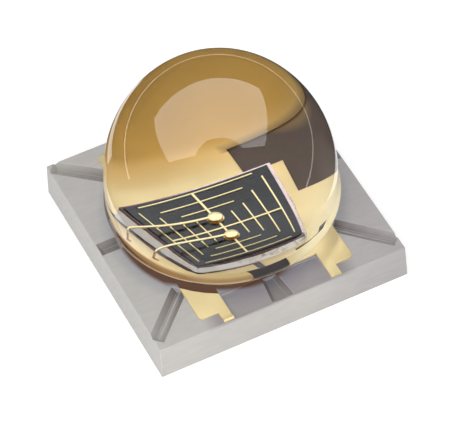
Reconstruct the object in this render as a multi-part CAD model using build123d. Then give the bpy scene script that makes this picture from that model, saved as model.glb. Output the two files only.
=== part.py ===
"""Surface-mount infrared emitter: a square moulded package, a lead frame, a gridded chip and a clear dome lens.

The origin is at the middle of the underside. Z points up out of the lens, the wire landing is on the -X side
and the visible pair of tie-bar tabs is on the -Y side. Lengths are in millimetres and angles in degrees.
"""

from build123d import *
import os
from math import atan2, cos, degrees, radians, sin, tan

# Package body
body_side = 3.75
body_height = 0.555
body_draft = 2.0
panel_width = 1.46
panel_start = 1.40
panel_depth = 0.015

# Overflow grooves in the top face
groove_depth = 0.085
groove_wall_angle = 42.0
groove_width = 0.23
panel_groove_root = 0.20
panel_groove_mouth = 0.36
groove_edge_gap = 0.03
side_groove_offset = 0.12
front_corner_groove_start = (1.12, 0.97)
front_corner_groove_end = (1.83, 1.68)
rear_corner_groove_start = (1.17, 1.27)
rear_corner_groove_end = (1.80, 1.81)

# Lens
dome_radius = 1.61
dome_rise = 1.87
dome_equator = 1.235
crown_spans = 6
foot_radius = 1.64
foot_height = 0.22
foot_flare_height = 0.10
foot_contact_radius = 1.56
foot_blend_height = 0.16
foot_rounding = 0.05
foot_flat_lean = 40.0

# Lead frame
lead_radius = 1.55
lead_flat = 1.38
lead_proud = 0.012
plate_thickness = 0.15
covered_ring_width = 0.17
covered_ring_depth = 0.03
lead_gap = 0.05
gap_left = 0.59
gap_front = 0.595
notch_x = 0.03
notch_width = 0.075
window_front = 0.85
window_left = 0.165
window_right = 0.29

# Locking slots through the die pad
front_slot_corner = (0.80, 0.72)
front_slot_reach = (0.38, 0.28)
front_slot_width = (0.10, 0.07)
rear_slot_corner = (0.82, 0.88)
rear_slot_reach = (0.41, 0.60)
rear_slot_width = (0.20, 0.25)

# Tie-bar tabs
tab_inner = 0.74
tab_outer = 1.165
tab_root = 0.70
tab_edge_gap = 0.196
tab_corner = 0.07
tie_bar_width = 0.15
tie_bar_setback = 0.015
tab_thickness = 0.05
burr_height = 0.05
burr_length = 0.09

# Solder pads on the underside
pad_inset = 0.22
pad_end_margin = 0.425
pad_thickness = 0.12
pad_gap = 0.43
thermal_pad_width = 1.05

# Chip
chip_side = 1.10
chip_centre = (-0.01, 0.0)
attach_thickness = 0.02
fillet_width = 0.018
fillet_rise = 0.085
fillet_edge = 0.004
carrier_thickness = 0.085
mirror_thickness = 0.008
mesa_margin = 0.022
mesa_thickness = 0.012

# Contact grid on the chip
grid_thickness = 0.008
bus_width = 0.017
finger_width = 0.010
finger_pitch = 0.108
side_finger_count = 4
first_side_finger = 0.143
side_finger_end_gap = 0.03
shortest_finger = 0.35
end_finger_count = 3
first_end_finger = 0.278
end_finger_end_gap = 0.07
bond_pad_radius = 0.066
bond_pad_offset = 0.145

# Bond wires
wire_diameter = 0.026
ball_radius = 0.056
ball_height = 0.040
wire_exit_height = 0.024
wire_bend_radius = 0.05
rear_loop_height = 0.088
rear_shoulder_share = 0.965
rear_wire_land = (-0.862, 0.206)
rear_stitch_turn = 0.0
front_loop_height = 0.068
front_shoulder_share = 0.90
front_wire_land = (-0.815, -0.135)
front_stitch_turn = -60.0
stitch_length = 0.075
stitch_width = 0.042
stitch_thickness = 0.010

top_edge = body_side / 2 - body_height * tan(radians(body_draft))
tab_reach = top_edge - tab_edge_gap
covered_ring_radius = lead_radius - covered_ring_width
pad_edge = body_side / 2 - pad_inset
pad_inner_edge = thermal_pad_width / 2 + pad_gap
pad_half_length = body_side / 2 - pad_end_margin
lead_top = body_height + lead_proud
plate_bottom = lead_top - plate_thickness
attach_top = lead_top + attach_thickness
carrier_top = attach_top + carrier_thickness
mirror_top = carrier_top + mirror_thickness
mesa_top = mirror_top + mesa_thickness
grid_top = mesa_top + grid_thickness


def save(shape, name):
    """Writes one named piece to its own STEP file."""
    os.makedirs("parts", exist_ok=True)
    export_step(shape, "parts/" + name + ".step")


def rectangle(x0, y0, x1, y1):
    """A flat rectangle between two corners."""
    return Pos((x0 + x1) / 2, (y0 + y1) / 2) * Rectangle(abs(x1 - x0), abs(y1 - y0))


def raised(plan, bottom, top):
    """A flat plan given its thickness between two heights."""
    return extrude(Pos(0, 0, bottom) * plan, amount=top - bottom, dir=(0, 0, 1))


def on_chip(shape):
    """Puts a shape drawn about the chip's own middle where the chip lies on the die pad."""
    return Pos(*chip_centre) * shape


def foot_plan():
    """Outline of the lens foot on the package: a circle with a flat along each panel."""
    return Circle(foot_contact_radius) & Rectangle(body_side, 2 * panel_start)


def groove_lines():
    """Start, end, width at the start and width at the end of every overflow groove on the top face."""
    root = panel_start - groove_width
    edge = body_side / 2 - groove_edge_gap
    lines = []
    for side in (-1, 1):
        side_start = (side * root, side_groove_offset)
        side_end = (side * edge, side_groove_offset)
        lines.append((side_start, side_end, groove_width, groove_width))
        lines.append(((0.0, side * root), (0.0, side * edge), panel_groove_root, panel_groove_mouth))
        for start, end, end_of_package in (
            (front_corner_groove_start, front_corner_groove_end, -1),
            (rear_corner_groove_start, rear_corner_groove_end, 1),
        ):
            turned = [(side * x, end_of_package * y) for x, y in (start, end)]
            lines.append((*turned, groove_width, groove_width))
    return lines


def groove_cutter(start, end, start_width, end_width):
    """A flat-bottomed groove with sloping walls and sloping ends, along one line."""
    run = Vector(*end) - Vector(*start)
    turn = degrees(atan2(run.Y, run.X))
    corners = (
        (0, -start_width / 2),
        (run.length, -end_width / 2),
        (run.length, end_width / 2),
        (0, start_width / 2),
    )
    outline = Pos(*start, body_height) * Rot(0, 0, turn) * make_face(Polyline(*corners, close=True))
    return extrude(outline, amount=groove_depth, dir=(0, 0, -1), taper=groove_wall_angle)


def lead_gaps():
    """The plastic gaps that part the lead frame's disc into the two leads."""
    half = lead_gap / 2
    notch_right = notch_x + notch_width / 2
    left = rectangle(-gap_left - half, -gap_front - half, -gap_left + half, body_side / 2)
    front = rectangle(-gap_left - half, -gap_front - half, notch_right, -gap_front + half)
    notch = rectangle(notch_right - notch_width, -window_front, notch_right, -gap_front + half)
    window = rectangle(-window_left, -body_side / 2, window_right, -window_front)
    return left + front + notch + window


def corner_slot(corner, reach, width):
    """An L-shaped slot with its outer corner given, its legs running back along -X and towards the middle."""
    x, y = corner
    inward = -1 if y > 0 else 1
    along_x = rectangle(x - reach[0], y, x, y + inward * width[1])
    along_y = rectangle(x - width[0], y, x, y + inward * reach[1])
    return along_x + along_y


def disc_plan():
    """The lead frame's disc with its gaps and locking slots cut through."""
    disc = Circle(lead_radius) & Rectangle(body_side, 2 * lead_flat)
    front_slot = corner_slot((front_slot_corner[0], -front_slot_corner[1]), front_slot_reach, front_slot_width)
    rear_slot = corner_slot(rear_slot_corner, rear_slot_reach, rear_slot_width)
    return disc - lead_gaps() - front_slot - rear_slot


def lead_faces():
    """The disc's two separate outlines: the wire landing and the die pad."""
    pieces = disc_plan().faces().sort_by(Axis.X)
    return Sketch() + pieces[0], Sketch() + pieces[-1]


def tab_plan(side_x, side_y):
    """One tie-bar tab: a tongue with a rounded outer corner and a narrow tie bar out to the package edge."""
    tongue = rectangle(tab_inner, tab_root, tab_outer, tab_reach)
    outer_corner = tongue.vertices().sort_by(Axis.X)[-2:].sort_by(Axis.Y)[-1]
    tongue = fillet(outer_corner, tab_corner)
    bar = rectangle(tab_inner, tab_root, tab_inner + tie_bar_width, top_edge - tie_bar_setback)
    plan = tongue + bar
    if side_x < 0:
        plan = mirror(plan, about=Plane.YZ)
    if side_y < 0:
        plan = mirror(plan, about=Plane.XZ)
    return plan


def tab(side_x, side_y):
    """One thin tie-bar tab, flush with the top of its lead."""
    outside = tab_plan(side_x, side_y) - (Circle(covered_ring_radius) & Rectangle(body_side, 2 * lead_flat))
    return raised(outside, lead_top - tab_thickness, lead_top)


def sheared_burr():
    """The torn lip left on the wire landing's tie bar where it was sheared off."""
    tip = -(top_edge - tie_bar_setback)
    lip = Polyline((tip, lead_top), (tip + burr_length, lead_top), (tip, lead_top + burr_height), close=True)
    section = make_face(Plane.YZ * lip)
    return extrude(Pos(-tab_inner - tie_bar_width, 0, 0) * section, amount=tie_bar_width, dir=(1, 0, 0))


def pad_plans():
    """Solder pads on the underside: wire landing, thermal pad and die pad electrode."""
    land = rectangle(-pad_edge, -pad_half_length, -pad_inner_edge, pad_half_length)
    thermal = Rectangle(thermal_pad_width, 2 * pad_half_length)
    electrode = rectangle(pad_inner_edge, -pad_half_length, pad_edge, pad_half_length)
    return land, thermal, electrode


def pedestal(pad, plate):
    """A solder pad with its post up to the plate that stands over it."""
    return raised(pad, 0, pad_thickness) + raised(pad & plate, 0, plate_bottom)


def covered_ring():
    """The etched step at the rim of the wire landing, where the package's plastic covers the lead."""
    ring = Circle(lead_radius) - Circle(covered_ring_radius)
    return raised(ring, lead_top - covered_ring_depth, lead_top)


def make_wire_land_lead(plate):
    """The lead that the bond wires land on."""
    land_pad = pad_plans()[0]
    body = raised(plate, plate_bottom, lead_top) + tab(-1, -1) + tab(-1, 1) - covered_ring()
    return body + pedestal(land_pad, plate) + sheared_burr()


def make_die_pad_lead(plate):
    """The lead that carries the chip and takes its heat down to the thermal pad."""
    thermal, electrode = pad_plans()[1:]
    body = raised(plate, plate_bottom, lead_top)
    return body + pedestal(thermal, plate) + pedestal(electrode, plate) + tab(1, -1) + tab(1, 1)


def make_housing(leads):
    """The moulded package: a drafted block with end panels and grooves, moulded round the lead frame."""
    block = extrude(Rectangle(body_side, body_side), amount=body_height, taper=body_draft)
    for side in (-1, 1):
        panel = rectangle(-panel_width / 2, side * panel_start, panel_width / 2, side * body_side)
        block -= raised(panel, body_height - panel_depth, body_height + panel_depth)
    under_foot = raised(foot_plan(), 0, body_height)
    for groove in groove_lines():
        block -= groove_cutter(*groove) - under_foot
    for lead in leads:
        block -= lead
    return block


def make_die_attach():
    """Solder under the chip, climbing the foot of the chip's sides as a steep fillet."""
    foot_side = chip_side + 2 * fillet_width
    top_side = chip_side + 2 * fillet_edge
    foot = Pos(0, 0, lead_top) * RectangleRounded(foot_side, foot_side, fillet_width)
    top = Pos(0, 0, lead_top + fillet_rise) * RectangleRounded(top_side, top_side, fillet_edge)
    mound = loft([foot, top], ruled=True)
    seat = raised(Rectangle(chip_side, chip_side), attach_top, attach_top + carrier_thickness)
    return on_chip(mound - seat)


def chip_layer(side, bottom, top):
    """One square layer of the chip."""
    return on_chip(raised(Rectangle(side, side), bottom, top))


def make_contact_grid():
    """Gold contact: two crossed bars, fingers across their four arms and two bond pads on the long bar."""
    side_reach = first_side_finger + (side_finger_count - 1) * finger_pitch
    end_reach = first_end_finger + (end_finger_count - 1) * finger_pitch
    plan = Rectangle(2 * side_reach, bus_width) + Rectangle(bus_width, 2 * end_reach)
    for way in (-1, 1):
        for step in range(side_finger_count):
            distance = first_side_finger + step * finger_pitch
            length = max(2 * (distance - side_finger_end_gap), shortest_finger)
            plan += Pos(way * distance, 0) * Rectangle(finger_width, length)
        for step in range(end_finger_count):
            distance = first_end_finger + step * finger_pitch
            plan += Pos(0, way * distance) * Rectangle(2 * (distance - end_finger_end_gap), finger_width)
        plan += Pos(0, way * bond_pad_offset) * Circle(bond_pad_radius)
    return on_chip(raised(plan, mesa_top, grid_top))


def make_bond_wire(side, land, shoulder_share, loop_height, stitch_turn):
    """A gold bond wire: squashed ball, low loop that leaves it sideways, and a flattened stitch."""
    x = chip_centre[0]
    y = chip_centre[1] + side * bond_pad_offset
    land_x, land_y = land
    slab = Box(3 * ball_radius, 3 * ball_radius, ball_height)
    ball = Pos(x, y, grid_top + ball_height / 2) * (Sphere(ball_radius) & slab)

    def along(share, height):
        return (x + (land_x - x) * share, y + (land_y - y) * share, height)

    foot = lead_top + stitch_thickness / 2
    path = FilletPolyline(
        along(0, grid_top + wire_exit_height),
        along(shoulder_share, grid_top + loop_height),
        along(1.0, foot),
        radius=wire_bend_radius,
    )
    section = Plane(origin=path @ 0, z_dir=path % 0) * Circle(wire_diameter / 2)
    run = sweep(section, path=path)
    stitch_middle = Pos((stitch_length - wire_diameter) / 2, 0)
    stitch = stitch_middle * Box(stitch_length, stitch_width, stitch_thickness)
    return ball + run + Pos(land_x, land_y, foot) * Rot(0, 0, stitch_turn) * stitch


def foot_flat(side):
    """What is left out beside one panel: a flat on the foot that leans outward up to the full round."""
    overhang = foot_radius - panel_start
    rise = overhang / tan(radians(foot_flat_lean))
    wedge = Polyline(
        (side * panel_start, body_height),
        (side * (panel_start + overhang), body_height + rise),
        (side * (panel_start + overhang), body_height),
        close=True,
    )
    return extrude(make_face(Plane.YZ * wedge), amount=body_side / 2, both=True)


def make_lens(enclosed):
    """The clear silicone dome, half an ellipsoid on a round foot, moulded round all that it encloses."""
    base = body_height
    flank = FilletPolyline(
        (foot_contact_radius, base),
        (foot_radius, base + foot_flare_height),
        (foot_radius, base + foot_height),
        (dome_radius, base + foot_height + foot_blend_height),
        (dome_radius, dome_equator),
        radius=foot_rounding,
    )
    turns = [radians(90) * step / crown_spans for step in range(crown_spans + 1)]
    crown_points = [(dome_radius * cos(turn), dome_equator + dome_rise * sin(turn)) for turn in turns]
    crown = Spline(crown_points, tangents=[(0, 1), (-1, 0)])
    axis_line = Polyline(
        (0, dome_equator + dome_rise),
        (0, base),
        (foot_contact_radius, base),
    )
    profile = make_face(Plane.XZ * (flank + crown + axis_line))
    body = revolve(profile, Axis.Z)
    for side in (-1, 1):
        body -= foot_flat(side)
    for piece in enclosed:
        body -= piece
    return body


def main():
    land_plate, die_plate = lead_faces()
    wire_land_lead = make_wire_land_lead(land_plate)
    die_pad_lead = make_die_pad_lead(die_plate)
    die_attach = make_die_attach()
    chip_carrier = chip_layer(chip_side, attach_top, carrier_top)
    mirror_layer = chip_layer(chip_side, carrier_top, mirror_top)
    emitting_layer = chip_layer(chip_side - 2 * mesa_margin, mirror_top, mesa_top)
    contact_grid = make_contact_grid()
    rear_bond_wire = make_bond_wire(
        1, rear_wire_land, rear_shoulder_share, rear_loop_height, rear_stitch_turn
    )
    front_bond_wire = make_bond_wire(
        -1, front_wire_land, front_shoulder_share, front_loop_height, front_stitch_turn
    )
    leads = [wire_land_lead, die_pad_lead]
    chip_parts = [die_attach, chip_carrier, mirror_layer, emitting_layer, contact_grid]
    wires = [rear_bond_wire, front_bond_wire]
    save(make_housing(leads), "housing")
    save(wire_land_lead, "wire_land_lead")
    save(die_pad_lead, "die_pad_lead")
    save(die_attach, "die_attach")
    save(chip_carrier, "chip_carrier")
    save(mirror_layer, "mirror_layer")
    save(emitting_layer, "emitting_layer")
    save(contact_grid, "contact_grid")
    save(rear_bond_wire, "rear_bond_wire")
    save(front_bond_wire, "front_bond_wire")
    save(make_lens(leads + chip_parts + wires), "lens")


main()
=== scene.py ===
"""Finished look of a surface-mount infrared emitter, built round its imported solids.

The clear silicone dome, the bond wires and the solder round the chip are new surfaces, worked out from
formulas. The moulded package, the lead frame and the chip's layers keep their solids and get their materials
here. Everything is in the frame of the solids, in metres: Z points up out of the lens, and the wires land on
the -X side.
"""

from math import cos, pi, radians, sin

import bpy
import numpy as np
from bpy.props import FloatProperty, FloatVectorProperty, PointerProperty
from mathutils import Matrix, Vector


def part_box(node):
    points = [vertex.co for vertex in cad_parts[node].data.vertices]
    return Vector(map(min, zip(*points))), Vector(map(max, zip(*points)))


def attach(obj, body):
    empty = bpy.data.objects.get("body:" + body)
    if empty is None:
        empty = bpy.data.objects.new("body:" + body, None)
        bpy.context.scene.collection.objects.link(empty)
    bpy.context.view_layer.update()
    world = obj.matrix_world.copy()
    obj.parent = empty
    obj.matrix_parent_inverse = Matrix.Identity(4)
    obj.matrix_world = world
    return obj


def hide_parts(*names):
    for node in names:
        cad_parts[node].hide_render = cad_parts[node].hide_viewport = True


bl_info = {
    "name": "Dome-lens infrared emitter",
    "version": (1, 0, 0),
    "blender": (4, 5, 0),
    "location": "View3D > Sidebar > Emitter",
    "description": "Builds the finished look of a surface-mount infrared emitter round its packed solids",
    "category": "Object",
}

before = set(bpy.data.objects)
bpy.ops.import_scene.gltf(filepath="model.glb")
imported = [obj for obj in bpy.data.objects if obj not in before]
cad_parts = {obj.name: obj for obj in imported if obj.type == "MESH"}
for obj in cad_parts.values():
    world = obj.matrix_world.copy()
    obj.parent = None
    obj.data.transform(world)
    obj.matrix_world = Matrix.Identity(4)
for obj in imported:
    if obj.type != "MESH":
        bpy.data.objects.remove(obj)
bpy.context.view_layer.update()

MM = 0.001
BODY = "root"

package_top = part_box("housing")[1].z
plate_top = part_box("die_pad_lead")[1].z
lens_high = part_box("lens")[1]
chip_low, chip_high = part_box("chip_carrier")
solder_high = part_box("die_attach")[1].z
grid_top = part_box("contact_grid")[1].z


def linear(hex_colour):
    """Turns an sRGB hex colour into linear red, green and blue, by the standard's own curve."""
    knee, slope, offset, power = 0.04045, 12.92, 0.055, 2.4
    channels = np.array([int(hex_colour[place:place + 2], 16) for place in (1, 3, 5)]) / 255
    low = channels / slope
    high = ((channels + offset) / (1 + offset)) ** power
    return tuple(float(value) for value in np.where(channels <= knee, low, high))


def opaque(colour):
    """A colour with full alpha."""
    return (*colour[:3], 1.0)


def length(words, default):
    """A length property with its default in millimetres."""
    return FloatProperty(name=words, description=words, default=default * MM, subtype="DISTANCE", precision=6)


def colour(words, hex_colour):
    """A colour property."""
    return FloatVectorProperty(
        name=words, description=words, default=linear(hex_colour), subtype="COLOR", size=3, min=0, max=1
    )


class EmitterSizes(bpy.types.PropertyGroup):
    """Sizes of the pieces that are made here."""

    dome_radius: length("Radius of the dome at its equator", 1.61)
    dome_equator: length("Height of the dome's equator", 1.235)
    contact_radius: length("Radius of the lens foot where it meets the package", 1.40)
    rim_height: length("Height of the lens rim above the package", 0.315)
    rim_blend: length("Height over which the rim draws in to the dome", 0.20)
    rim_softness: length("Softness of the rim's edge", 0.010)
    foot_sink: length("Depth of the lens below the package's top face", 0.02)
    wire_diameter: length("Diameter of the bond wires", 0.026)
    ball_radius: length("Radius of the bonded balls", 0.060)
    ball_height: length("Height of the bonded balls", 0.042)
    stitch_length: length("Length of the flattened wire ends", 0.075)
    stitch_width: length("Width of the flattened wire ends", 0.046)
    solder_foot: length("Reach of the solder round the chip's foot", 0.018)


class EmitterColours(bpy.types.PropertyGroup):
    """Colours of the materials."""

    package_grey: colour("Moulded package", "#B9B6B2")
    # Painted shade for the groove walls and floors.
    groove_shade: colour("Painted shade on the groove walls and floors", "#7A726C")
    flow_mark: colour("Flow marks in the moulding", "#8E8B88")
    # Painted highlight on the edges of the moulding.
    edge_highlight: colour("Painted highlight on the moulding's edges", "#E6E4E2")
    # Brown of the wetted package, also used as painted shade on the gold by the rear slot.
    wet_brown_and_slot_shade: colour("Package under the silicone, also painted shade on gold by the rear slot", "#66554B")
    rear_brown: colour("Package at the rear edge of the silicone", "#9A7E56")
    right_brown: colour("Package under the right of the silicone", "#92867C")
    window_brown: colour("Package in the front window and gap", "#2A1E1E")
    # Painted shade under the lens's overhang, on the skin over the landing's rim and the tab roots.
    root_shade_brown: colour("Painted shade on the package skin over the landing's rim and tab roots", "#5A3820")
    plating: colour("Gold plating of the lead frame", "#F4DDA6")
    # Painted shade: deeper gold at the rear.
    shaded_rear_plating: colour("Gold plating at the rear, painted deeper as shade", "#F2C066")
    # Painted light: paler gold at the right.
    lit_right_plating: colour("Gold plating at the right, painted paler as light", "#FFF1C4")
    # Painted shade: duller gold in front of the chip.
    shaded_front_plating: colour("Gold plating in front of the chip, painted duller as shade", "#B89C5C")
    # Painted light: a brighter copy of the plating for the tabs outside the lens.
    lit_tab_plating: colour("Gold plating of the tabs, painted brighter as light", "#FFEAB2")
    # Painted shade along the edges of the gap between the leads.
    gap_edge_shade: colour("Painted shade along the edges of the gap between the leads", "#2A1A0E")
    # Painted shade on the wire landing's rim, golden brown.
    landing_rim_shade: colour("Painted shade on the rim of the wire landing", "#9A6428")
    # Darkest painted shade at the outer edge of the wire landing's rim.
    dark_landing_rim_shade: colour("Darkest painted shade on the rim of the wire landing", "#3A2212")
    solder: colour("Solder round the chip", "#FFFCFB")
    flux: colour("Flux on the solder", "#B89C78")
    carrier: colour("Chip carrier", "#4A4A52")
    saw_mark: colour("Saw marks on the carrier", "#77727A")
    # Mirror layer's edge where it carries a painted reflection.
    mirror: colour("Mirror layer's edge", "#F2DCDC")
    mirror_fleck: colour("Flecks on the mirror layer's edge", "#C9A9A4")
    # Painted shade on the mirror layer's edge at the left and front.
    shaded_mirror: colour("Painted shade on the mirror layer's edge at the left and front", "#6E565C")
    emitter: colour("Emitting layer", "#0B0E12")
    blue_emitter: colour("Bluer patches of the emitting layer", "#161D27")
    etch_line: colour("Etch lines of the emitting layer", "#2E333A")
    contact: colour("Contact grid", "#FDEDB8")
    wire: colour("Bond wires", "#FFEFC0")
    # Painted shade for gold low down on the balls and wires.
    low_gold_shade: colour("Painted shade on gold low down", "#A8661C")
    card_light: colour("Light of the bent cards", "#FFF4E6")


class EmitterStage(bpy.types.PropertyGroup):
    """The camera's place."""

    azimuth: FloatProperty(name="Camera azimuth", description="Degrees round the part", default=-22.723)
    elevation: FloatProperty(name="Camera elevation", description="Degrees above the floor", default=49.745)
    roll: FloatProperty(name="Camera roll", description="Degrees about the line of sight", default=-4.578)
    distance: length("Camera distance", 46.092)
    target_height: length("Height of the point looked at", 0.5)
    focal_length: FloatProperty(name="Focal length", description="For a 36 mm sensor", default=266.17)


def add_node(tree, kind, inputs=None, **settings):
    """Adds one shader node, sets its fields, and links or sets its sockets by name or place."""
    node = tree.nodes.new(kind)
    for field, value in settings.items():
        setattr(node, field, value)
    for socket, value in (inputs or {}).items():
        if isinstance(value, bpy.types.NodeSocket):
            tree.links.new(value, node.inputs[socket])
        else:
            node.inputs[socket].default_value = value
    return node


def new_material(name, **settings):
    """A material with one Principled surface: returns the material, its tree and the surface node."""
    material = bpy.data.materials.new(name)
    material.use_nodes = True
    surface = material.node_tree.nodes["Principled BSDF"]
    for socket, value in settings.items():
        surface.inputs[socket.replace("_", " ")].default_value = value
    return material, material.node_tree, surface


def millimetres(tree, stretch=(1, 1, 1), turn=0.0):
    """Object coordinates in millimetres, turned about Z and stretched along each axis."""
    place = add_node(tree, "ShaderNodeTexCoord").outputs["Object"]
    scale = tuple(factor / MM for factor in stretch)
    return add_node(
        tree, "ShaderNodeMapping", {"Vector": place, "Scale": scale, "Rotation": (0, 0, turn)}
    ).outputs["Vector"]


def noise(tree, place, grain, detail=2.0):
    """Noise whose grains are about that many millimetres wide."""
    inputs = {"Vector": place, "Scale": 1 / grain, "Detail": detail}
    return add_node(tree, "ShaderNodeTexNoise", inputs).outputs["Fac"]


def remap(tree, value, low, high, new_low, new_high):
    """A value carried from one range to another and held at its ends."""
    return add_node(
        tree, "ShaderNodeMapRange", {0: value, 1: low, 2: high, 3: new_low, 4: new_high}
    ).outputs[0]


def math(tree, operation, first, second=0.0):
    """One sum on two values."""
    return add_node(tree, "ShaderNodeMath", {0: first, 1: second}, operation=operation).outputs[0]


def mix(tree, factor, first, second, blend="MIX"):
    """Two colours mixed by a factor: each is a socket, or red, green and blue."""
    pair = [value if isinstance(value, bpy.types.NodeSocket) else opaque(value) for value in (first, second)]
    inputs = {0: factor, 6: pair[0], 7: pair[1]}
    return add_node(tree, "ShaderNodeMix", inputs, data_type="RGBA", blend_type=blend).outputs[2]


def paint(tree, surface, **values):
    """Links values to the surface's sockets by name."""
    for socket, value in values.items():
        tree.links.new(value, surface.inputs[socket.replace("_", " ")])


def fade(tree, value, start, end, full=1.0):
    """Nought at the start of a range, which may run up or down, and full at its end and beyond."""
    return remap(tree, value, start, end, 0.0, full)


def above(tree, value, limit):
    """One where a value is more than a limit, and nought elsewhere."""
    return math(tree, "GREATER_THAN", value, limit)


def below(tree, value, limit):
    """One where a value is less than a limit, and nought elsewhere."""
    return math(tree, "LESS_THAN", value, limit)


def unsigned(tree, value):
    """A value without its sign."""
    return math(tree, "ABSOLUTE", value)


def product(tree, total, *factors):
    """Two or more values multiplied."""
    for factor in factors:
        total = math(tree, "MULTIPLY", total, factor)
    return total


def places(tree):
    """Place in millimetres, then its three coordinates."""
    place = millimetres(tree)
    return place, *add_node(tree, "ShaderNodeSeparateXYZ", {0: place}).outputs


def from_axis(tree, x, y):
    """Distance from the lens axis in millimetres."""
    flat = add_node(tree, "ShaderNodeCombineXYZ", {0: x, 1: y}).outputs[0]
    return add_node(tree, "ShaderNodeVectorMath", {0: flat}, operation="LENGTH").outputs["Value"]


def bump(tree, height, depth, edge=0.0):
    """Bump from a height of 0 to 1 for a depth in millimetres, over edges softened by a radius."""
    node = add_node(tree, "ShaderNodeBump", {"Height": height, "Strength": 1.0, "Distance": depth * MM})
    if edge:
        soft = add_node(tree, "ShaderNodeBevel", {"Radius": edge * MM}, samples=4)
        tree.links.new(soft.outputs["Normal"], node.inputs["Normal"])
    return node.outputs["Normal"]


def grey_skin(tree, colours, where, upward, flow):
    """Grey of the moulding: clouded, marked by the flow, with painted shade in the grooves and round the
    lens.

    Painted shade on the groove walls is darkest near the lens, and the painted shade on the groove floors
    leaves a lighter line along their middle. Painted shade also makes the skin purplish between the front
    tabs and towards the right, and bluish under the overhang of the lens foot.
    """
    place, x, y, z, radius = where
    darker, lighter = 0.95, 1.03
    # Painted shade tints: between the front tabs, under the lens foot and towards the right.
    between_tabs_shade = (0.62, 0.58, 0.62)
    under_foot_shade = (0.60, 0.62, 0.76)
    right_side_shade = (0.80, 0.78, 0.84)
    groove_floor, panel_top, floor_line_offset = 0.51, 0.54, 0.15
    least_lean, level = 0.2, 0.9
    cloud = noise(tree, place, grain=1.3)
    grey = mix(
        tree,
        fade(tree, cloud, start=0.3, end=0.7),
        [value * darker for value in colours.package_grey],
        [min(1.0, value * lighter) for value in colours.package_grey],
    )
    grey = mix(tree, fade(tree, flow, start=0.35, end=0.65, full=0.12), grey, colours.flow_mark)
    # Painted shade on the groove walls, darkest near the lens.
    slope = product(tree, fade(tree, upward, start=0.90, end=0.80), above(tree, upward, least_lean))
    wall = product(tree, slope, remap(tree, radius, low=1.5, high=2.5, new_low=0.95, new_high=0.25))
    grey = mix(tree, wall, grey, colours.groove_shade)
    # Painted shade on the groove floors, which leaves a lighter line along their middle.
    floor = product(tree, below(tree, z, groove_floor), above(tree, upward, level))
    floor = product(tree, floor, remap(tree, radius, low=1.6, high=2.5, new_low=0.75, new_high=0.2))
    across = math(tree, "SUBTRACT", unsigned(tree, x), unsigned(tree, y))
    from_line = unsigned(tree, math(tree, "SUBTRACT", across, floor_line_offset))
    floor = product(tree, floor, fade(tree, from_line, start=0.010, end=0.022))
    grey = mix(tree, floor, grey, colours.groove_shade)
    # Painted shade between the front tabs, in front of the lens.
    between = product(tree, fade(tree, y, start=-1.25, end=-1.45), fade(tree, z, start=0.50, end=panel_top))
    between = product(tree, between, fade(tree, unsigned(tree, x), start=1.15, end=0.95, full=0.85))
    grey = mix(tree, between, grey, between_tabs_shade, blend="MULTIPLY")
    # Painted shade, bluish, under the overhang of the lens foot.
    under_foot = fade(tree, radius, start=1.78, end=1.50, full=0.75)
    grey = mix(tree, under_foot, grey, under_foot_shade, blend="MULTIPLY")
    # Painted shade, growing towards the right side of the package.
    return mix(tree, fade(tree, x, start=0.4, end=1.6, full=0.8), grey, right_side_shade, blend="MULTIPLY")


def wetted_skin(tree, colours, where):
    """Where the moulding is brown, and how brown it is there.

    The silicone wets the floors of the gap, the slots and the window inside its foot. Where the polymer's
    skin laps over the wire landing's rim, most at the far left, and over the roots of its tabs, it is painted
    dark brown as the shade under the lens's overhang.
    """
    x, y, z, radius = where[1:]
    foot, lowest_floor, skin_level, window_back = 1.40, 0.30, 0.53, -0.5
    tab_middle, tab_half, tab_start, tab_end = 0.95, 0.215, 0.7, 1.56
    floors = product(tree, below(tree, radius, foot), above(tree, z, lowest_floor))
    skin_end = remap(tree, x, low=-1.3, high=-1.1, new_low=1.53, new_high=1.45)
    past_skin = math(tree, "SUBTRACT", radius, skin_end)
    # Painted shade under the lens's overhang, on the skin over the landing's rim and the tab roots.
    rim = product(tree, fade(tree, past_skin, start=0.06, end=0.0), above(tree, z, skin_level))
    rim = product(tree, rim, fade(tree, x, start=0.45, end=0.1))
    from_tab = unsigned(tree, math(tree, "ADD", x, tab_middle))
    tab_root = product(tree, below(tree, from_tab, tab_half), above(tree, unsigned(tree, y), tab_start))
    tab_root = product(tree, tab_root, below(tree, radius, tab_end))
    root = math(tree, "MAXIMUM", rim, tab_root)
    brown = mix(tree, root, colours.wet_brown_and_slot_shade, colours.root_shade_brown)
    behind = above(tree, y, 0.0)
    rear_edge = product(tree, fade(tree, radius, start=1.06, end=1.10, full=0.9), behind)
    brown = mix(tree, rear_edge, brown, colours.rear_brown)
    right_edge = product(tree, fade(tree, x, start=0.72, end=0.84, full=0.8), behind)
    brown = mix(tree, right_edge, brown, colours.right_brown)
    front = product(tree, below(tree, y, window_back), below(tree, radius, foot))
    brown = mix(tree, front, brown, colours.window_brown)
    return math(tree, "MAXIMUM", floors, root), brown


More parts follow.
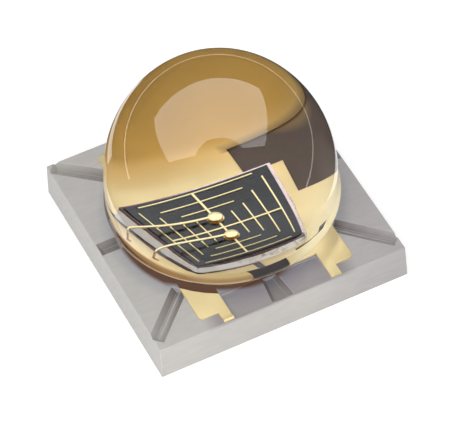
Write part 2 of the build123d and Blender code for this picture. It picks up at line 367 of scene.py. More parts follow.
def moulded_polymer(colours):
    """Glass-filled polymer, injection moulded: a smooth matte grey skin, brown where the silicone wets it.

    The grey is drawn out along the flow, and a painted highlight makes the edges of the moulding a little
    paler.
    """
    material, tree, surface = new_material("moulded_polymer", Roughness=0.5)
    place, x, y, z = places(tree)
    where = (place, x, y, z, from_axis(tree, x, y))
    facing = add_node(tree, "ShaderNodeNewGeometry").outputs["True Normal"]
    upward = add_node(tree, "ShaderNodeSeparateXYZ", {0: facing}).outputs[2]
    flow = noise(tree, millimetres(tree, stretch=(0.25, 1.0, 1.0), turn=radians(8)), grain=0.06)
    grain = noise(tree, place, grain=0.022)
    grey = grey_skin(tree, colours, where, upward, flow)
    # Painted highlight: edges are lightened where the softened normal turns away from the true one.
    soft = add_node(tree, "ShaderNodeBevel", {"Radius": 0.016 * MM}, samples=4).outputs["Normal"]
    turned = add_node(tree, "ShaderNodeVectorMath", {0: soft, 1: facing}, operation="DOT_PRODUCT")
    edge = fade(tree, turned.outputs["Value"], start=0.99, end=0.90, full=0.45)
    grey = mix(tree, edge, grey, colours.edge_highlight)
    wet, brown = wetted_skin(tree, colours, where)
    shade = mix(tree, wet, grey, brown)
    roughness = remap(tree, flow, low=0.3, high=0.7, new_low=0.46, new_high=0.54)
    normal = bump(tree, grain, depth=0.0015, edge=0.012)
    paint(tree, surface, Base_Color=shade, Roughness=roughness, Normal=normal)
    return material


def box_distance(tree, x, y, centre, half):
    """Millimetres past the nearest side of an upright box seen from above, and less than nought inside it."""
    past = [
        math(tree, "SUBTRACT", unsigned(tree, math(tree, "SUBTRACT", value, middle)), reach)
        for value, middle, reach in zip((x, y), centre, half)
    ]
    return math(tree, "MAXIMUM", *past)


def gold_under_lens(tree, colours, x, y):
    """Gold under the lens with painted light and shade: painted shade makes it deeper at the rear and duller
    in front of the chip, and painted light makes it paler at the right.

    Painted shade darkens it towards the rear slot's two legs and along both edges of the gap between the
    leads.
    """
    # Painted shade: deeper gold towards the rear.
    rear = fade(tree, y, start=0.72, end=1.00)
    shade = mix(tree, rear, colours.plating, colours.shaded_rear_plating)
    slant, slot_front = 0.5, 0.86
    towards_right = math(tree, "SUBTRACT", x, product(tree, y, slant))
    # Painted light: paler gold towards the right.
    right = fade(tree, towards_right, start=0.45, end=1.0)
    shade = mix(tree, right, shade, colours.lit_right_plating)
    back_leg = box_distance(tree, x, y, centre=(0.615, 0.78), half=(0.205, 0.10))
    side_leg = box_distance(tree, x, y, centre=(0.695, 0.58), half=(0.125, 0.30))
    # Painted shade: the gold darkens softly towards the rear slot's two legs.
    shade_by_slot = fade(tree, math(tree, "MINIMUM", back_leg, side_leg), start=0.05, end=0.0, full=0.6)
    shade_by_slot = product(tree, shade_by_slot, above(tree, y, slot_front))
    shade = mix(tree, shade_by_slot, shade, colours.wet_brown_and_slot_shade)
    # Painted shade: duller gold in front of the chip.
    front = fade(tree, y, start=-0.45, end=-0.8, full=0.5)
    front = product(tree, front, fade(tree, x, start=0.6, end=0.2))
    shade = mix(tree, front, shade, colours.shaded_front_plating)
    # Painted shade along both edges of the gap between the leads, widest towards the front.
    from_gap = box_distance(tree, x, y, centre=(-0.59, 0.6), half=(0.025, 1.25))
    shaded_by_gap = below(tree, from_gap, remap(tree, y, low=0.5, high=-0.3, new_low=0.004, new_high=0.035))
    return mix(tree, shaded_by_gap, shade, colours.gap_edge_shade)


def rolled_gold(colours):
    """Rolled copper strip, stamped and gold plated: a satin warm metal with faint rolling lines along X.

    Painted shade turns the wire landing's rim golden brown and then dark towards its outer edge. The tabs
    outside the lens are painted brighter, as a lit copy of the plating.
    """
    material, tree, surface = new_material("rolled_gold", Metallic=0.7, Roughness=0.4)
    place, x, y = places(tree)[:3]
    radius = from_axis(tree, x, y)
    tab_start, chip_front, front_right, landing_right = 1.47, -0.3, 0.3, -0.5
    cloud_tint = (0.86, 0.80, 0.70)
    lines = noise(tree, millimetres(tree, stretch=(0.06, 1.0, 1.0), turn=radians(-12)), grain=0.016)
    cloud = noise(tree, place, grain=0.35, detail=3.0)
    shade = gold_under_lens(tree, colours, x, y)
    before_chip = product(tree, below(tree, y, chip_front), below(tree, x, front_right))
    landing = math(tree, "MAXIMUM", below(tree, x, landing_right), before_chip)
    # Painted shade near the lens rim: golden brown, then dark at the outer edge of the wire landing.
    spread = math(tree, "ADD", radius, fade(tree, x, start=-0.7, end=-1.2, full=0.07))
    shaded_rim = product(tree, fade(tree, spread, start=1.05, end=1.17, full=0.85), landing)
    shade = mix(tree, shaded_rim, shade, colours.landing_rim_shade)
    dark = product(tree, fade(tree, radius, start=1.16, end=1.22), landing)
    shade = mix(tree, dark, shade, colours.dark_landing_rim_shade)
    # Painted light: the tabs outside the lens get a brighter copy of the plating.
    shade = mix(tree, above(tree, radius, tab_start), shade, colours.lit_tab_plating)
    clouded = fade(tree, cloud, start=0.3, end=0.7, full=0.22)
    shade = mix(tree, clouded, shade, cloud_tint, blend="MULTIPLY")
    roughness = remap(tree, cloud, low=0.3, high=0.7, new_low=0.34, new_high=0.46)
    normal = bump(tree, lines, depth=0.0003, edge=0.01)
    paint(tree, surface, Base_Color=shade, Roughness=roughness, Normal=normal)
    return material


def reflowed_solder(colours):
    """Tin-silver solder, melted and set: bright and smooth, with flux-browned patches away from the wires."""
    material, tree, surface = new_material("reflowed_solder", Metallic=0.0, Roughness=0.4)
    place, x = places(tree)[:2]
    patches = noise(tree, place, grain=0.07, detail=3.0)
    browned = fade(tree, patches, start=0.50, end=0.62, full=0.8)
    browned = product(tree, browned, fade(tree, x, start=-0.25, end=0.15))
    shade = mix(tree, browned, colours.solder, colours.flux)
    paint(tree, surface, Base_Color=shade, Normal=bump(tree, patches, depth=0.003))
    return material


def sawn_semiconductor(colours):
    """Semiconductor carrier cut with a saw: dark grey sides with upright saw marks."""
    material, tree, surface = new_material("sawn_semiconductor", Roughness=0.4)
    marks = noise(tree, millimetres(tree, stretch=(1.0, 1.0, 0.1)), grain=0.012)
    marked = fade(tree, marks, start=0.3, end=0.7, full=0.6)
    shade = mix(tree, marked, colours.carrier, colours.saw_mark)
    paint(tree, surface, Base_Color=shade, Normal=bump(tree, marks, depth=0.002))
    return material


def mirror_metal(colours):
    """Evaporated mirror metal round the chip: a painted pinkish reflection at the right and rear, and painted
    shade elsewhere.
    """
    material, tree, surface = new_material("mirror_metal", Metallic=0.6, Roughness=0.25)
    place, x, y = places(tree)[:3]
    inner = 0.5
    flecks = noise(tree, place, grain=0.03)
    rear_edge = product(tree, above(tree, y, inner), fade(tree, x, start=-0.25, end=0.05))
    right_edge = product(tree, above(tree, x, inner), above(tree, y, -inner))
    # Painted reflection on the right and rear sides; the other sides get painted shade.
    bright = math(tree, "MAXIMUM", rear_edge, right_edge)
    flecked = fade(tree, flecks, start=0.45, end=0.7, full=0.5)
    shade = mix(tree, flecked, colours.mirror, colours.mirror_fleck)
    shade = mix(tree, bright, colours.shaded_mirror, shade)
    paint(tree, surface, Base_Color=shade)
    return material


def etched_emitter(colours):
    """Etched semiconductor film over a mirror: blue-black and glossy, with fine etch lines along X."""
    material, tree, surface = new_material("etched_emitter", Roughness=0.16)
    lines = noise(tree, millimetres(tree, stretch=(0.04, 1.0, 1.0)), grain=0.012)
    blue = noise(tree, millimetres(tree), grain=0.25)
    bluer = fade(tree, blue, start=0.35, end=0.65)
    shade = mix(tree, bluer, colours.emitter, colours.blue_emitter)
    lined = fade(tree, lines, start=0.45, end=0.7, full=0.5)
    shade = mix(tree, lined, shade, colours.etch_line)
    paint(tree, surface, Base_Color=shade, Normal=bump(tree, lines, depth=0.00015))
    return material


def bright_gold(name, base, low_gold_shade, roughness, grain, low_shade=0.0):
    """Fine gold, evaporated or drawn: bright and smooth, with a faint grain, and painted shade browns it low
    down.
    """
    material, tree, surface = new_material(name, Metallic=1.0, Roughness=roughness)
    fleck_tint = (0.88, 0.80, 0.65)
    shade_start, shade_end = 0.026, 0.004
    flecks = noise(tree, millimetres(tree), grain)
    darker = [value * factor for value, factor in zip(base, fleck_tint)]
    shade = mix(tree, fade(tree, flecks, start=0.4, end=0.7, full=0.6), base, darker)
    height = add_node(tree, "ShaderNodeSeparateXYZ", {0: millimetres(tree)}).outputs[2]
    grid = grid_top / MM
    # Painted shade: balls and wires turn darker brown low down.
    low_shaded = fade(tree, height, start=grid + shade_start, end=grid + shade_end, full=low_shade)
    shade = mix(tree, low_shaded, shade, low_gold_shade)
    paint(tree, surface, Base_Color=shade, Normal=bump(tree, flecks, depth=0.001))
    return material


def cast_silicone():
    """Optical silicone, cast in a polished mould: clear, colourless and as smooth as glass."""
    material, tree, surface = new_material("cast_silicone", Roughness=0.0, IOR=1.5, Transmission_Weight=1.0)
    ripple = noise(tree, millimetres(tree), grain=1.2, detail=0.0)
    paint(tree, surface, Normal=bump(tree, ripple, depth=0.0003))
    return material


def bare_piece(name, vertices, faces, material):
    """An object with one mesh and one material, in no collection yet."""
    mesh = bpy.data.meshes.new(name)
    mesh.from_pydata(vertices, [], faces)
    mesh.materials.append(material)
    return bpy.data.objects.new(name, mesh)


def mesh_piece(name, vertices, faces, material, nodes, sharp_angle=None):
    """Makes one piece from arrays: smooth faces, a material and the solids it stands for."""
    piece = bare_piece(name, vertices.tolist(), faces, material)
    piece.data.shade_smooth()
    if sharp_angle:
        piece.data.set_sharp_from_angle(angle=sharp_angle)
    bpy.context.scene.collection.objects.link(piece)
    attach(piece, BODY)
    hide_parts(*nodes)


def closed_tube(rings, first):
    """Vertices and faces of a closed tube: each ring is joined round and to the next, and each end is a fan.

    rings is an array of ring, point and coordinate, running so that outward is to the left of ring by point.
    first is the number of the tube's first vertex in the whole mesh.
    """
    count, around = rings.shape[:2]
    index = first + np.arange(count * around).reshape(count, around)
    beside = np.roll(index, -1, axis=1)
    sides = np.stack([index[:-1], beside[:-1], beside[1:], index[1:]], axis=-1).reshape(-1, 4)
    start = first + count * around
    end = start + 1
    start_fan = np.stack([beside[0], index[0], np.full(around, start)], axis=-1)
    end_fan = np.stack([index[-1], beside[-1], np.full(around, end)], axis=-1)
    poles = np.stack([rings[0].mean(axis=0), rings[-1].mean(axis=0)])
    vertices = np.concatenate([rings.reshape(-1, 3), poles])
    return vertices, [*sides.tolist(), *start_fan.tolist(), *end_fan.tolist()]


def join_tubes(tubes):
    """Vertices and faces of several closed tubes in one mesh."""
    vertices = []
    faces = []
    total = 0
    for rings in tubes:
        more, their_faces = closed_tube(rings, total)
        vertices.append(more)
        faces += their_faces
        total += len(more)
    return np.concatenate(vertices), faces


def revolved(profile, turns):
    """Rings of a surface of revolution: each point's radius and height are carried round every turn."""
    radius, height = profile[:, :1], profile[:, 1:]
    x = radius * np.cos(turns)
    y = radius * np.sin(turns)
    return np.stack([x, y, np.broadcast_to(height, x.shape)], axis=-1)


def lens_profile(sizes):
    """Radius and height up the lens: an undercut foot, a soft rim, then half an ellipse.

    The foot leans out from the package in a straight line, and above the rim the radius draws in to the
    dome's by a cosine step. The foot takes the smaller of the two, less the softness times the natural log of
    one plus e to the power of minus their difference over the softness. On the ellipse the radius is the dome
    radius times the cosine of the turn, and the height above the equator is the dome's rise times its sine.
    """
    foot_steps, crown_steps = 110, 97
    height = np.linspace(package_top, sizes.dome_equator, foot_steps)[:-1]
    share = (height - package_top) / sizes.rim_height
    leaning = sizes.contact_radius + (lens_high.x - sizes.contact_radius) * share
    step = np.clip((height - package_top - sizes.rim_height) / sizes.rim_blend, 0, 1)
    upright = lens_high.x + (sizes.dome_radius - lens_high.x) * (1 - np.cos(pi * step)) / 2
    apart = np.abs(leaning - upright) / sizes.rim_softness
    radius = np.minimum(leaning, upright) - sizes.rim_softness * np.log1p(np.exp(-apart))
    rise = lens_high.z - sizes.dome_equator
    turn = np.linspace(0, pi / 2, crown_steps)[:-1]
    ellipse = [sizes.dome_radius * np.cos(turn), sizes.dome_equator + rise * np.sin(turn)]
    under = package_top - sizes.foot_sink
    sole = np.array([[sizes.contact_radius / 2, under], [sizes.contact_radius, under]])
    return np.concatenate([sole, np.stack([radius, height], axis=1), np.stack(ellipse, axis=1)])


class EMITTER_OT_cast_lens(bpy.types.Operator):
    """Casts the clear silicone dome on its undercut round foot."""

    bl_idname = "emitter.cast_lens"
    bl_label = "Cast lens"

    def execute(self, context):
        around, sharp = 256, radians(50)
        turns = np.linspace(0, 2 * pi, around, endpoint=False)
        rings = revolved(lens_profile(context.scene.emitter_sizes), turns)
        vertices, faces = join_tubes([rings])
        mesh_piece("dome_lens", vertices, faces, cast_silicone(), ["lens"], sharp)
        return {"FINISHED"}


def spline_points(controls, count):
    """Points on a smooth line: each is a quadratic blend of three controls in a row, and the ends stay."""
    sliver = 1e-9
    padded = np.concatenate([[2 * controls[0] - controls[1]], controls, [2 * controls[-1] - controls[-2]]])
    place = np.linspace(0, len(controls) - 1 - sliver, count) + 0.5
    first = np.floor(place).astype(int)
    share = (place - first)[:, None]
    first = np.clip(first, 0, len(padded) - 3)
    before = 0.5 * (1 - share) ** 2
    after = 0.5 * share**2
    return before * padded[first] + (1 - before - after) * padded[first + 1] + after * padded[first + 2]


def swept(path, side, widths, heights, around=16):
    """Rings of an oval section carried along a path in an upright plane.

    Each ring's point is the path's point, plus half a width times the cosine along the plane's level normal,
    plus half a height times the sine along the normal that lies in the plane.
    """
    along = np.gradient(path, axis=0)
    along /= np.linalg.norm(along, axis=1)[:, None]
    normal = np.cross(side, along)
    turns = np.linspace(0, 2 * pi, around, endpoint=False)
    across = np.cos(turns)[None, :, None] * side * (widths / 2)[:, None, None]
    upward = np.sin(turns)[None, :, None] * normal[:, None, :] * (heights / 2)[:, None, None]
    return path[:, None, :] - across + upward


def ball_rings(centre, sizes):
    """Rings of a squashed ball with a flat foot: it swells from the foot to the waist and closes on top."""
    foot_turn, top_turn = -0.9, pi / 2 - 0.12
    levels, around = 14, 24
    turn = np.linspace(foot_turn, top_turn, levels)
    lift = (np.sin(turn) - sin(foot_turn)) / (1 - sin(foot_turn))
    profile = np.stack([sizes.ball_radius * np.cos(turn), grid_top + sizes.ball_height * lift], axis=1)
    rings = revolved(profile, np.linspace(0, 2 * pi, around, endpoint=False))
    return rings + np.array([centre[0], centre[1], 0.0])


def foot_rings(land, turn, sizes):
    """Rings of the flattened wire end: a tongue that widens, thins and ends round, lying on the landing."""
    levels, first_thickness, thinned_by, narrowest, sunk = 14, 0.75, 0.62, 0.02, 0.2
    share = np.linspace(0.0, 1.0, levels)
    forward = np.array([cos(turn), sin(turn), 0.0])
    side = np.array([-forward[1], forward[0], 0.0])
    reach = share * sizes.stitch_length - sizes.wire_diameter / 2
    widths = sizes.stitch_width * np.sqrt(np.clip(1 - (2 * share - 1) ** 4, narrowest, 1))
    heights = sizes.wire_diameter * (first_thickness - thinned_by * share)
    path = np.array([land[0], land[1], plate_top]) + reach[:, None] * forward
    path[:, 2] += heights / 2 - sunk * heights.min()
    return swept(path, side, widths, heights)


def wire_rings(start, land, heights_at_shares, sizes):
    """Rings of the round wire: a smooth line through a few heights above the chip, down to the landing."""
    steps = 72
    controls = np.array(
        [[*(start + (land - start) * share), height] for share, height in heights_at_shares]
    )
    path = spline_points(controls, steps)
    level = np.append(land - start, 0.0)
    level /= np.linalg.norm(level)
    side = np.cross(np.array([0.0, 0.0, 1.0]), level)
    widths = np.full(len(path), sizes.wire_diameter)
    return swept(path, side, widths, widths)


def wire_settings():
    """Each bond wire: its name, the solid that it stands for, its start, its landing and its stitch's turn.

    Its loop lists shares of the way with heights above the chip's contact, and its drop ends the way with
    heights above the lead. All lengths are in millimetres.
    """
    rear = {
        "name": "rear_wire",
        "node": "rear_bond_wire",
        "start": (-0.01, 0.145),
        "land": (-0.862, 0.206),
        "turn": 0.0,
        "loop": [(0.0, 0.024), (0.20, 0.024), (0.45, 0.040), (0.75, 0.080), (0.93, 0.092), (0.985, 0.080),
                 (0.985, 0.020)],
        "drop": [(0.99, 0.06), (1.0, 0.012)],
    }
    front = {
        "name": "front_wire",
        "node": "front_bond_wire",
        "start": (-0.01, -0.145),
        "land": (-0.815, -0.135),
        "turn": radians(-60),
        "loop": [(0.0, 0.024), (0.20, 0.034), (0.45, 0.060), (0.72, 0.070), (0.88, 0.050), (0.96, 0.010)],
        "drop": [(0.985, 0.06), (1.0, 0.012)],
    }
    return rear, front


class EMITTER_OT_bond_wires(bpy.types.Operator):
    """Draws both bond wires with their balls and flattened ends."""

    bl_idname = "emitter.bond_wires"
    bl_label = "Bond wires"

    def execute(self, context):
        sizes = context.scene.emitter_sizes
        colours = context.scene.emitter_colours
        material = bright_gold(
            "drawn_gold", colours.wire, colours.low_gold_shade, roughness=0.22, grain=0.02, low_shade=0.85
        )
        for wire in wire_settings():
            start, land = (np.array(wire[end]) * MM for end in ("start", "land"))
            heights = [(share, grid_top + height * MM) for share, height in wire["loop"]]
            heights += [(share, plate_top + height * MM) for share, height in wire["drop"]]
            tubes = [
                wire_rings(start, land, heights, sizes),
                ball_rings(start, sizes),
                foot_rings(land, wire["turn"], sizes),
            ]
            vertices, faces = join_tubes(tubes)
            mesh_piece(wire["name"], vertices, faces, material, [wire["node"]])
        return {"FINISHED"}


def rounded_square(half, corner, count):
    """Points and outward normals evenly spaced along a square outline whose corners are quarter circles."""
    corner_points = 9
    quarter = np.linspace(0, pi / 2, corner_points)
    turns = np.concatenate([quarter + side * pi / 2 for side in range(4)])
    signs = np.array([[1, 1], [-1, 1], [-1, -1], [1, -1]])
    centres = np.repeat((half - corner) * signs, len(quarter), axis=0)
    normals = np.stack([np.cos(turns), np.sin(turns)], axis=1)
    corners = np.concatenate([centres + corner * normals, centres[:1] + corner * normals[:1]])
    normals = np.concatenate([normals, normals[:1]])
    steps = np.linalg.norm(np.diff(corners, axis=0), axis=1)
    along = np.concatenate([[0.0], np.cumsum(steps)])
    places = np.linspace(0, along[-1], count, endpoint=False)
    points = np.stack([np.interp(places, along, corners[:, axis]) for axis in (0, 1)], axis=1)
    outward = np.stack([np.interp(places, along, normals[:, axis]) for axis in (0, 1)], axis=1)
    return points, outward / np.linalg.norm(outward, axis=1)[:, None]


class EMITTER_OT_reflow_solder(bpy.types.Operator):
    """Flows the solder round the chip: a steep, slightly lumpy fillet that climbs the chip's sides."""

    bl_idname = "emitter.reflow_solder"
    bl_label = "Reflow solder"

    def execute(self, context):
        sizes = context.scene.emitter_sizes
        corner, least_foot = 0.006 * MM, 0.002 * MM
        columns, levels, sharp = 480, 10, radians(50)
        side_lumps, top_lumps, curve, under_chip = 0.35, 0.06, 1.5, 0.985
        middle = (chip_low + chip_high) / 2
        half = (chip_high.x - chip_low.x) / 2
        points, outward = rounded_square(half, corner, columns)
        around = np.linspace(0, 2 * pi, len(points), endpoint=False)
        draws = np.random.default_rng(7)
        lumps = sum(
            np.sin(waves * around + draws.uniform(0, 2 * pi)) / np.sqrt(waves) for waves in (5, 9, 17, 31, 53)
        )
        lumps /= np.abs(lumps).max()
        share = np.linspace(0, 1, levels)[:, None]
        reach = sizes.solder_foot * (1 - share) ** curve * (1 + side_lumps * lumps) + least_foot * (1 - share)
        height = plate_top + (solder_high - plate_top) * share * (1 + top_lumps * lumps * share)
        outer = points[None] + outward[None] * reach[:, :, None]
        inner = points[None] * under_chip
        foot = np.full((1, len(points)), plate_top)
        rings = np.concatenate(
            [np.dstack([inner, foot]), np.dstack([outer, height]), np.dstack([inner, height[-1:]])]
        )
        rings[:, :, 0] += middle.x
        rings[:, :, 1] += middle.y
        vertices, faces = join_tubes([rings])
        material = reflowed_solder(context.scene.emitter_colours)
        mesh_piece("solder_fillet", vertices, faces, material, ["die_attach"], sharp)
        return {"FINISHED"}


def dress(nodes, material):
    """Gives solids their finish: the material."""
    for name in nodes:
        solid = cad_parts[name]
        solid.data.materials.clear()
        solid.data.materials.append(material)


class EMITTER_OT_mould_package(bpy.types.Operator):
    """Finishes the moulded package."""

    bl_idname = "emitter.mould_package"
    bl_label = "Mould package"

    def execute(self, context):
        dress(["housing"], moulded_polymer(context.scene.emitter_colours))
        return {"FINISHED"}


class EMITTER_OT_plate_leads(bpy.types.Operator):
    """Finishes both leads with gold plating."""

    bl_idname = "emitter.plate_leads"
    bl_label = "Plate leads"

    def execute(self, context):
        dress(["wire_land_lead", "die_pad_lead"], rolled_gold(context.scene.emitter_colours))
        return {"FINISHED"}


class EMITTER_OT_finish_chip(bpy.types.Operator):
    """Finishes the chip's carrier, mirror, emitting layer and contact grid."""

    bl_idname = "emitter.finish_chip"
    bl_label = "Finish chip"

    def execute(self, context):
        colours = context.scene.emitter_colours
        dress(["chip_carrier"], sawn_semiconductor(colours))
        dress(["mirror_layer"], mirror_metal(colours))
        dress(["emitting_layer"], etched_emitter(colours))
        contact, low_gold_shade = colours.contact, colours.low_gold_shade
        grid = bright_gold("evaporated_gold", contact, low_gold_shade, roughness=0.28, grain=0.03)
        dress(["contact_grid"], grid)
        return {"FINISHED"}


def shown_by_gloss(tree):
    """One for rays that come from the camera, a gloss or a clear body, and nought for plain light."""
    path = add_node(tree, "ShaderNodeLightPath").outputs
    seen = math(tree, "MAXIMUM", path["Is Camera Ray"], path["Is Glossy Ray"])
    return math(tree, "MAXIMUM", seen, path["Is Transmission Ray"])


def white_world():
    """Plain white surroundings: full white where they show, dimmer where they only light the part."""
    lit, shown = 0.5, 1.0
    world = bpy.data.worlds.new("white_room")
    bpy.context.scene.world = world
    world.use_nodes = True
    tree = world.node_tree
    background = tree.nodes["Background"]
    background.inputs["Color"].default_value = (1, 1, 1, 1)
    tree.links.new(remap(tree, shown_by_gloss(tree), 0, 1, lit, shown), background.inputs["Strength"])


def empty_material(name):
    """A material with no nodes yet: returns the material and its tree."""
    material = bpy.data.materials.new(name)
    material.use_nodes = True
    material.node_tree.nodes.clear()
    return material, material.node_tree


def white_floor():
    """A white sheet on the bench: matte white that keeps the part's soft shadow."""
    half = 150 * MM
    white, glow_shown = 0.8, 0.4
    corners = [(-half, -half, 0), (half, -half, 0), (half, half, 0), (-half, half, 0)]
    material, tree = empty_material("white_sheet")
    matte = add_node(tree, "ShaderNodeBsdfDiffuse", {"Color": (white, white, white, 1)})
    strength = product(tree, shown_by_gloss(tree), glow_shown)
    glow = add_node(tree, "ShaderNodeEmission", {"Strength": strength})
    both = add_node(tree, "ShaderNodeAddShader", {0: matte.outputs[0], 1: glow.outputs[0]})
    add_node(tree, "ShaderNodeOutputMaterial", {"Surface": both.outputs[0]})
    floor = bare_piece("floor", corners, [(0, 1, 2, 3)], material)
    bpy.context.scene.collection.objects.link(floor)


def direction(azimuth, elevation):
    """A unit vector from the part: azimuth 0 is the -Y side, and both angles are in degrees."""
    around, up = radians(azimuth), radians(elevation)
    return Vector((sin(around) * cos(up), -cos(around) * cos(up), sin(up)))


def hang_lamp(name, lamp, place):
    """Turns a lamp from a place to the part. It leaves no mark in gloss or in the clear dome."""
    hung = bpy.data.objects.new(name, lamp)
    hung.rotation_mode = "QUATERNION"
    hung.rotation_quaternion = place.to_track_quat("Z", "Y")
    hung.visible_glossy = False
    hung.visible_transmission = False
    bpy.context.scene.collection.objects.link(hung)
    return hung


def soft_sun(name, azimuth, elevation, strength, spread):
    """A broad far lamp."""
    lamp = bpy.data.lights.new(name, "SUN")
    lamp.energy = strength
    lamp.angle = radians(spread)
    hang_lamp(name, lamp, direction(azimuth, elevation))


def near_lamp():
    """A small lamp near the front left corner, so that the package is brightest there."""
    watts, side, place = 2.1e-4, 6, Vector((-6, -6, 5)) * MM
    lamp = bpy.data.lights.new("near_lamp", "AREA")
    lamp.energy = watts
    lamp.size = side * MM
    hang_lamp("near_lamp", lamp, place).location = place


def softbox_outline():
    """Plan of the softbox in millimetres: a rectangle with an arc of the port's circle in its front edge."""
    long_half, short_half = 44.0, 25.5
    port_place, port_radius, port_setback, port_points = 6.4, 18.8, 10.5, 25
    start = np.arcsin(port_setback / port_radius)
    arc = np.linspace(start, pi - start, port_points)
    across = port_place + port_radius * np.cos(arc)
    along = port_radius * np.sin(arc) - short_half - port_setback
    corners = np.array([[1, -1], [1, 1], [-1, 1], [-1, -1]]) * [long_half, short_half]
    return np.concatenate([corners, np.stack([across, along], axis=1)[::-1]])


def overhead_softbox():
    """A rectangular softbox above the part with a round port at its front edge for the camera.

    Only the lens shows it, as the notched pale patch on the dome. A slightly larger and brighter plate behind
    it makes the patch's light rim.
    """
    height = 30 * MM
    centre = np.array([-7.0, 7.5])
    turn = radians(-17.5)
    seen_through = 1.8
    plates = (("softbox", 1.0, 0.0, 3.5), ("softbox_rim", 1.03, 0.5 * MM, 4.6))
    outline = softbox_outline()
    spin = np.array([[cos(turn), sin(turn)], [-sin(turn), cos(turn)]])
    receivers = bpy.data.collections.new("shows_softbox")
    receivers.objects.link(bpy.data.objects["dome_lens"])
    for name, spread, lift, shine in plates:
        plan = (outline * spread @ spin + centre) * MM
        vertices = np.column_stack([plan, np.full(len(plan), height + lift)]).tolist()
        material, tree = empty_material("lit_" + name)
        path = add_node(tree, "ShaderNodeLightPath").outputs
        strength = remap(tree, path["Is Transmission Ray"], 0, 1, shine, seen_through)
        glow = add_node(tree, "ShaderNodeEmission", {"Strength": strength})
        add_node(tree, "ShaderNodeOutputMaterial", {"Surface": glow.outputs[0]})
        softbox = bare_piece(name, vertices, [list(range(len(vertices)))], material)
        unseen_but_in(softbox, glossy=True, transmission=True)
        softbox.light_linking.receiver_collection = receivers


def unseen_but_in(piece, glossy=False, transmission=False):
    """Keeps a stage piece out of the picture and of plain light: only gloss or the clear lens shows it."""
    piece.visible_camera = False
    piece.visible_diffuse = False
    piece.visible_shadow = False
    piece.visible_glossy = glossy
    piece.visible_transmission = transmission
    bpy.context.scene.collection.objects.link(piece)


def bent_card(name, centres, inner, outer, low, high, azimuths, shine, through=False):
    """A card bent round the part, dark or glowing, for the dome's polished outside or for light through it.

    It runs between two azimuths, from an inner radius at its lower edge to an outer radius at its upper edge,
    and each edge has a centre of its own. Rays other than mirror-sharp ones pass through it.
    """
    columns = 97
    turns = np.radians(np.linspace(*azimuths, columns))
    around = np.stack([np.sin(turns), -np.cos(turns)], axis=1)
    rings = [
        np.column_stack([around * radius + centre, np.full(len(around), z)])
        for centre, radius, z in zip(centres, (inner, outer), (low, high))
    ]
    vertices = np.concatenate(rings) * MM
    first = np.arange(columns - 1)
    faces = np.stack([first, first + 1, first + 1 + columns, first + columns], axis=1)
    material, tree = empty_material(name)
    light = opaque(bpy.context.scene.emitter_colours.card_light)
    sharp = add_node(tree, "ShaderNodeLightPath").outputs["Is Singular Ray"]
    clear = add_node(tree, "ShaderNodeBsdfTransparent")
    glow = add_node(tree, "ShaderNodeEmission", {"Color": light, "Strength": shine})
    both = add_node(tree, "ShaderNodeMixShader", {0: sharp, 1: clear.outputs[0], 2: glow.outputs[0]})
    add_node(tree, "ShaderNodeOutputMaterial", {"Surface": both.outputs[0]})
    card = bare_piece(name, vertices.tolist(), faces.tolist(), material)
    unseen_but_in(card, glossy=not through, transmission=through)


def dark_cards():
    """Dark cards on the bench, round it and over it, a narrow light line, and a bright window at the left.

    Radii and heights are in millimetres. The bench cards leave clear the floor just round the part.
    """
    middle = ((0.0, 0.0), (0.0, 0.0))
    line_centres = ((3.1, 7.4), (3.5, 8.5))
    full, rear, rest = (-180, 180), (-180, -140), (-140, 180)
    bench, wall_top, roof_top = 0.02, 80, 120
    close, middle_near, middle_far, far, point = 2.7, 3.5, 4.6, 140, 0.1
    dark, line_shine, window_shine = 0.03, 3.2, 2.2
    line_inner, line_outer, line_height, line_run = 11.7, 13.2, 0.05, (10, 290)
    window_far, window_low, window_high, window_run = 100, 10, 90, (-140, -20)
    bent_card("left_card", middle, middle_far, far, bench, bench, rear, dark)
    bent_card("inner_card", middle, close, middle_near, bench, bench, rear, dark)
    bent_card("bench_card", middle, close, far, bench, bench, rest, dark)
    line = (line_inner, line_outer, line_height, line_height, line_run)
    bent_card("light_line", line_centres, *line, line_shine)
    window = (window_far, window_far, window_low, window_high, window_run)
    bent_card("side_light", middle, *window, window_shine, through=True)
    bent_card("standing_card", middle, far, far, bench, wall_top, full, dark)
    bent_card("roof_card", middle, far, point, wall_top, roof_top, full, dark)


def aim_camera(stage):
    """The camera at the photograph's angle: back points from the part to it, and it is rolled about back."""
    picture_width, right_shift, up_shift = 450, 1.471, -1.357
    roll = radians(stage.roll)
    back = direction(stage.azimuth, stage.elevation)
    right = Vector((0, 0, 1)).cross(back).normalized()
    above_back = back.cross(right)
    rolled_right = right * cos(roll) + above_back * sin(roll)
    rolled_above = above_back * cos(roll) - right * sin(roll)
    data = bpy.data.cameras.new("camera")
    data.sensor_width = 36
    data.lens = stage.focal_length
    data.shift_x = right_shift / picture_width
    data.shift_y = up_shift / picture_width
    data.clip_start = MM
    data.clip_end = 10
    camera = bpy.data.objects.new("camera", data)
    place = Vector((0, 0, stage.target_height)) + back * stage.distance
    turn = Matrix((rolled_right, rolled_above, back)).transposed().to_4x4()
    camera.matrix_world = Matrix.Translation(place) @ turn
    bpy.context.scene.collection.objects.link(camera)
    bpy.context.scene.camera = camera


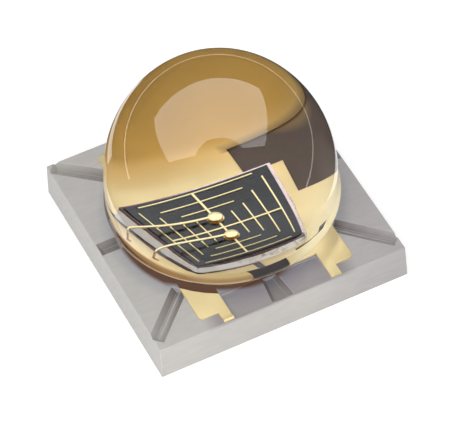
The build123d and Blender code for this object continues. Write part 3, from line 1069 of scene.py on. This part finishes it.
class EMITTER_OT_set_stage(bpy.types.Operator):
    """Sets the white floor and room, the soft lamps and the camera."""

    bl_idname = "emitter.set_stage"
    bl_label = "Set stage"

    def execute(self, context):
        white_world()
        white_floor()
        soft_sun("front_left_lamp", azimuth=-50, elevation=22, strength=1.3, spread=70)
        soft_sun("front_right_lamp", azimuth=30, elevation=15, strength=0.8, spread=70)
        soft_sun("top_lamp", azimuth=150, elevation=70, strength=0.7, spread=80)
        near_lamp()
        overhead_softbox()
        dark_cards()
        aim_camera(context.scene.emitter_stage)
        bpy.context.scene.view_settings.view_transform = "Standard"
        return {"FINISHED"}


class EMITTER_PT_panel(bpy.types.Panel):
    """Lists the emitter's sizes, colours and pieces in the sidebar."""

    bl_label = "Infrared emitter"
    bl_idname = "EMITTER_PT_panel"
    bl_space_type = "VIEW_3D"
    bl_region_type = "UI"
    bl_category = "Emitter"

    def draw(self, context):
        for group_name in GROUPS:
            group = getattr(context.scene, group_name)
            column = self.layout.column(align=True)
            for name in group.__annotations__:
                column.prop(group, name)
        for operator in OPERATORS:
            self.layout.operator(operator.bl_idname)


OPERATORS = (
    EMITTER_OT_mould_package,
    EMITTER_OT_plate_leads,
    EMITTER_OT_reflow_solder,
    EMITTER_OT_finish_chip,
    EMITTER_OT_bond_wires,
    EMITTER_OT_cast_lens,
    EMITTER_OT_set_stage,
)
GROUPS = {
    "emitter_sizes": EmitterSizes,
    "emitter_colours": EmitterColours,
    "emitter_stage": EmitterStage,
}


def register():
    for kind in (*GROUPS.values(), *OPERATORS, EMITTER_PT_panel):
        bpy.utils.register_class(kind)
    for name, group in GROUPS.items():
        setattr(bpy.types.Scene, name, PointerProperty(type=group))


def unregister():
    for name in GROUPS:
        delattr(bpy.types.Scene, name)
    for kind in (EMITTER_PT_panel, *reversed(OPERATORS), *GROUPS.values()):
        bpy.utils.unregister_class(kind)


def main():
    register()
    for operator in OPERATORS:
        group, name = operator.bl_idname.split(".")
        getattr(getattr(bpy.ops, group), name)()


if __name__ == "__main__":
    main()
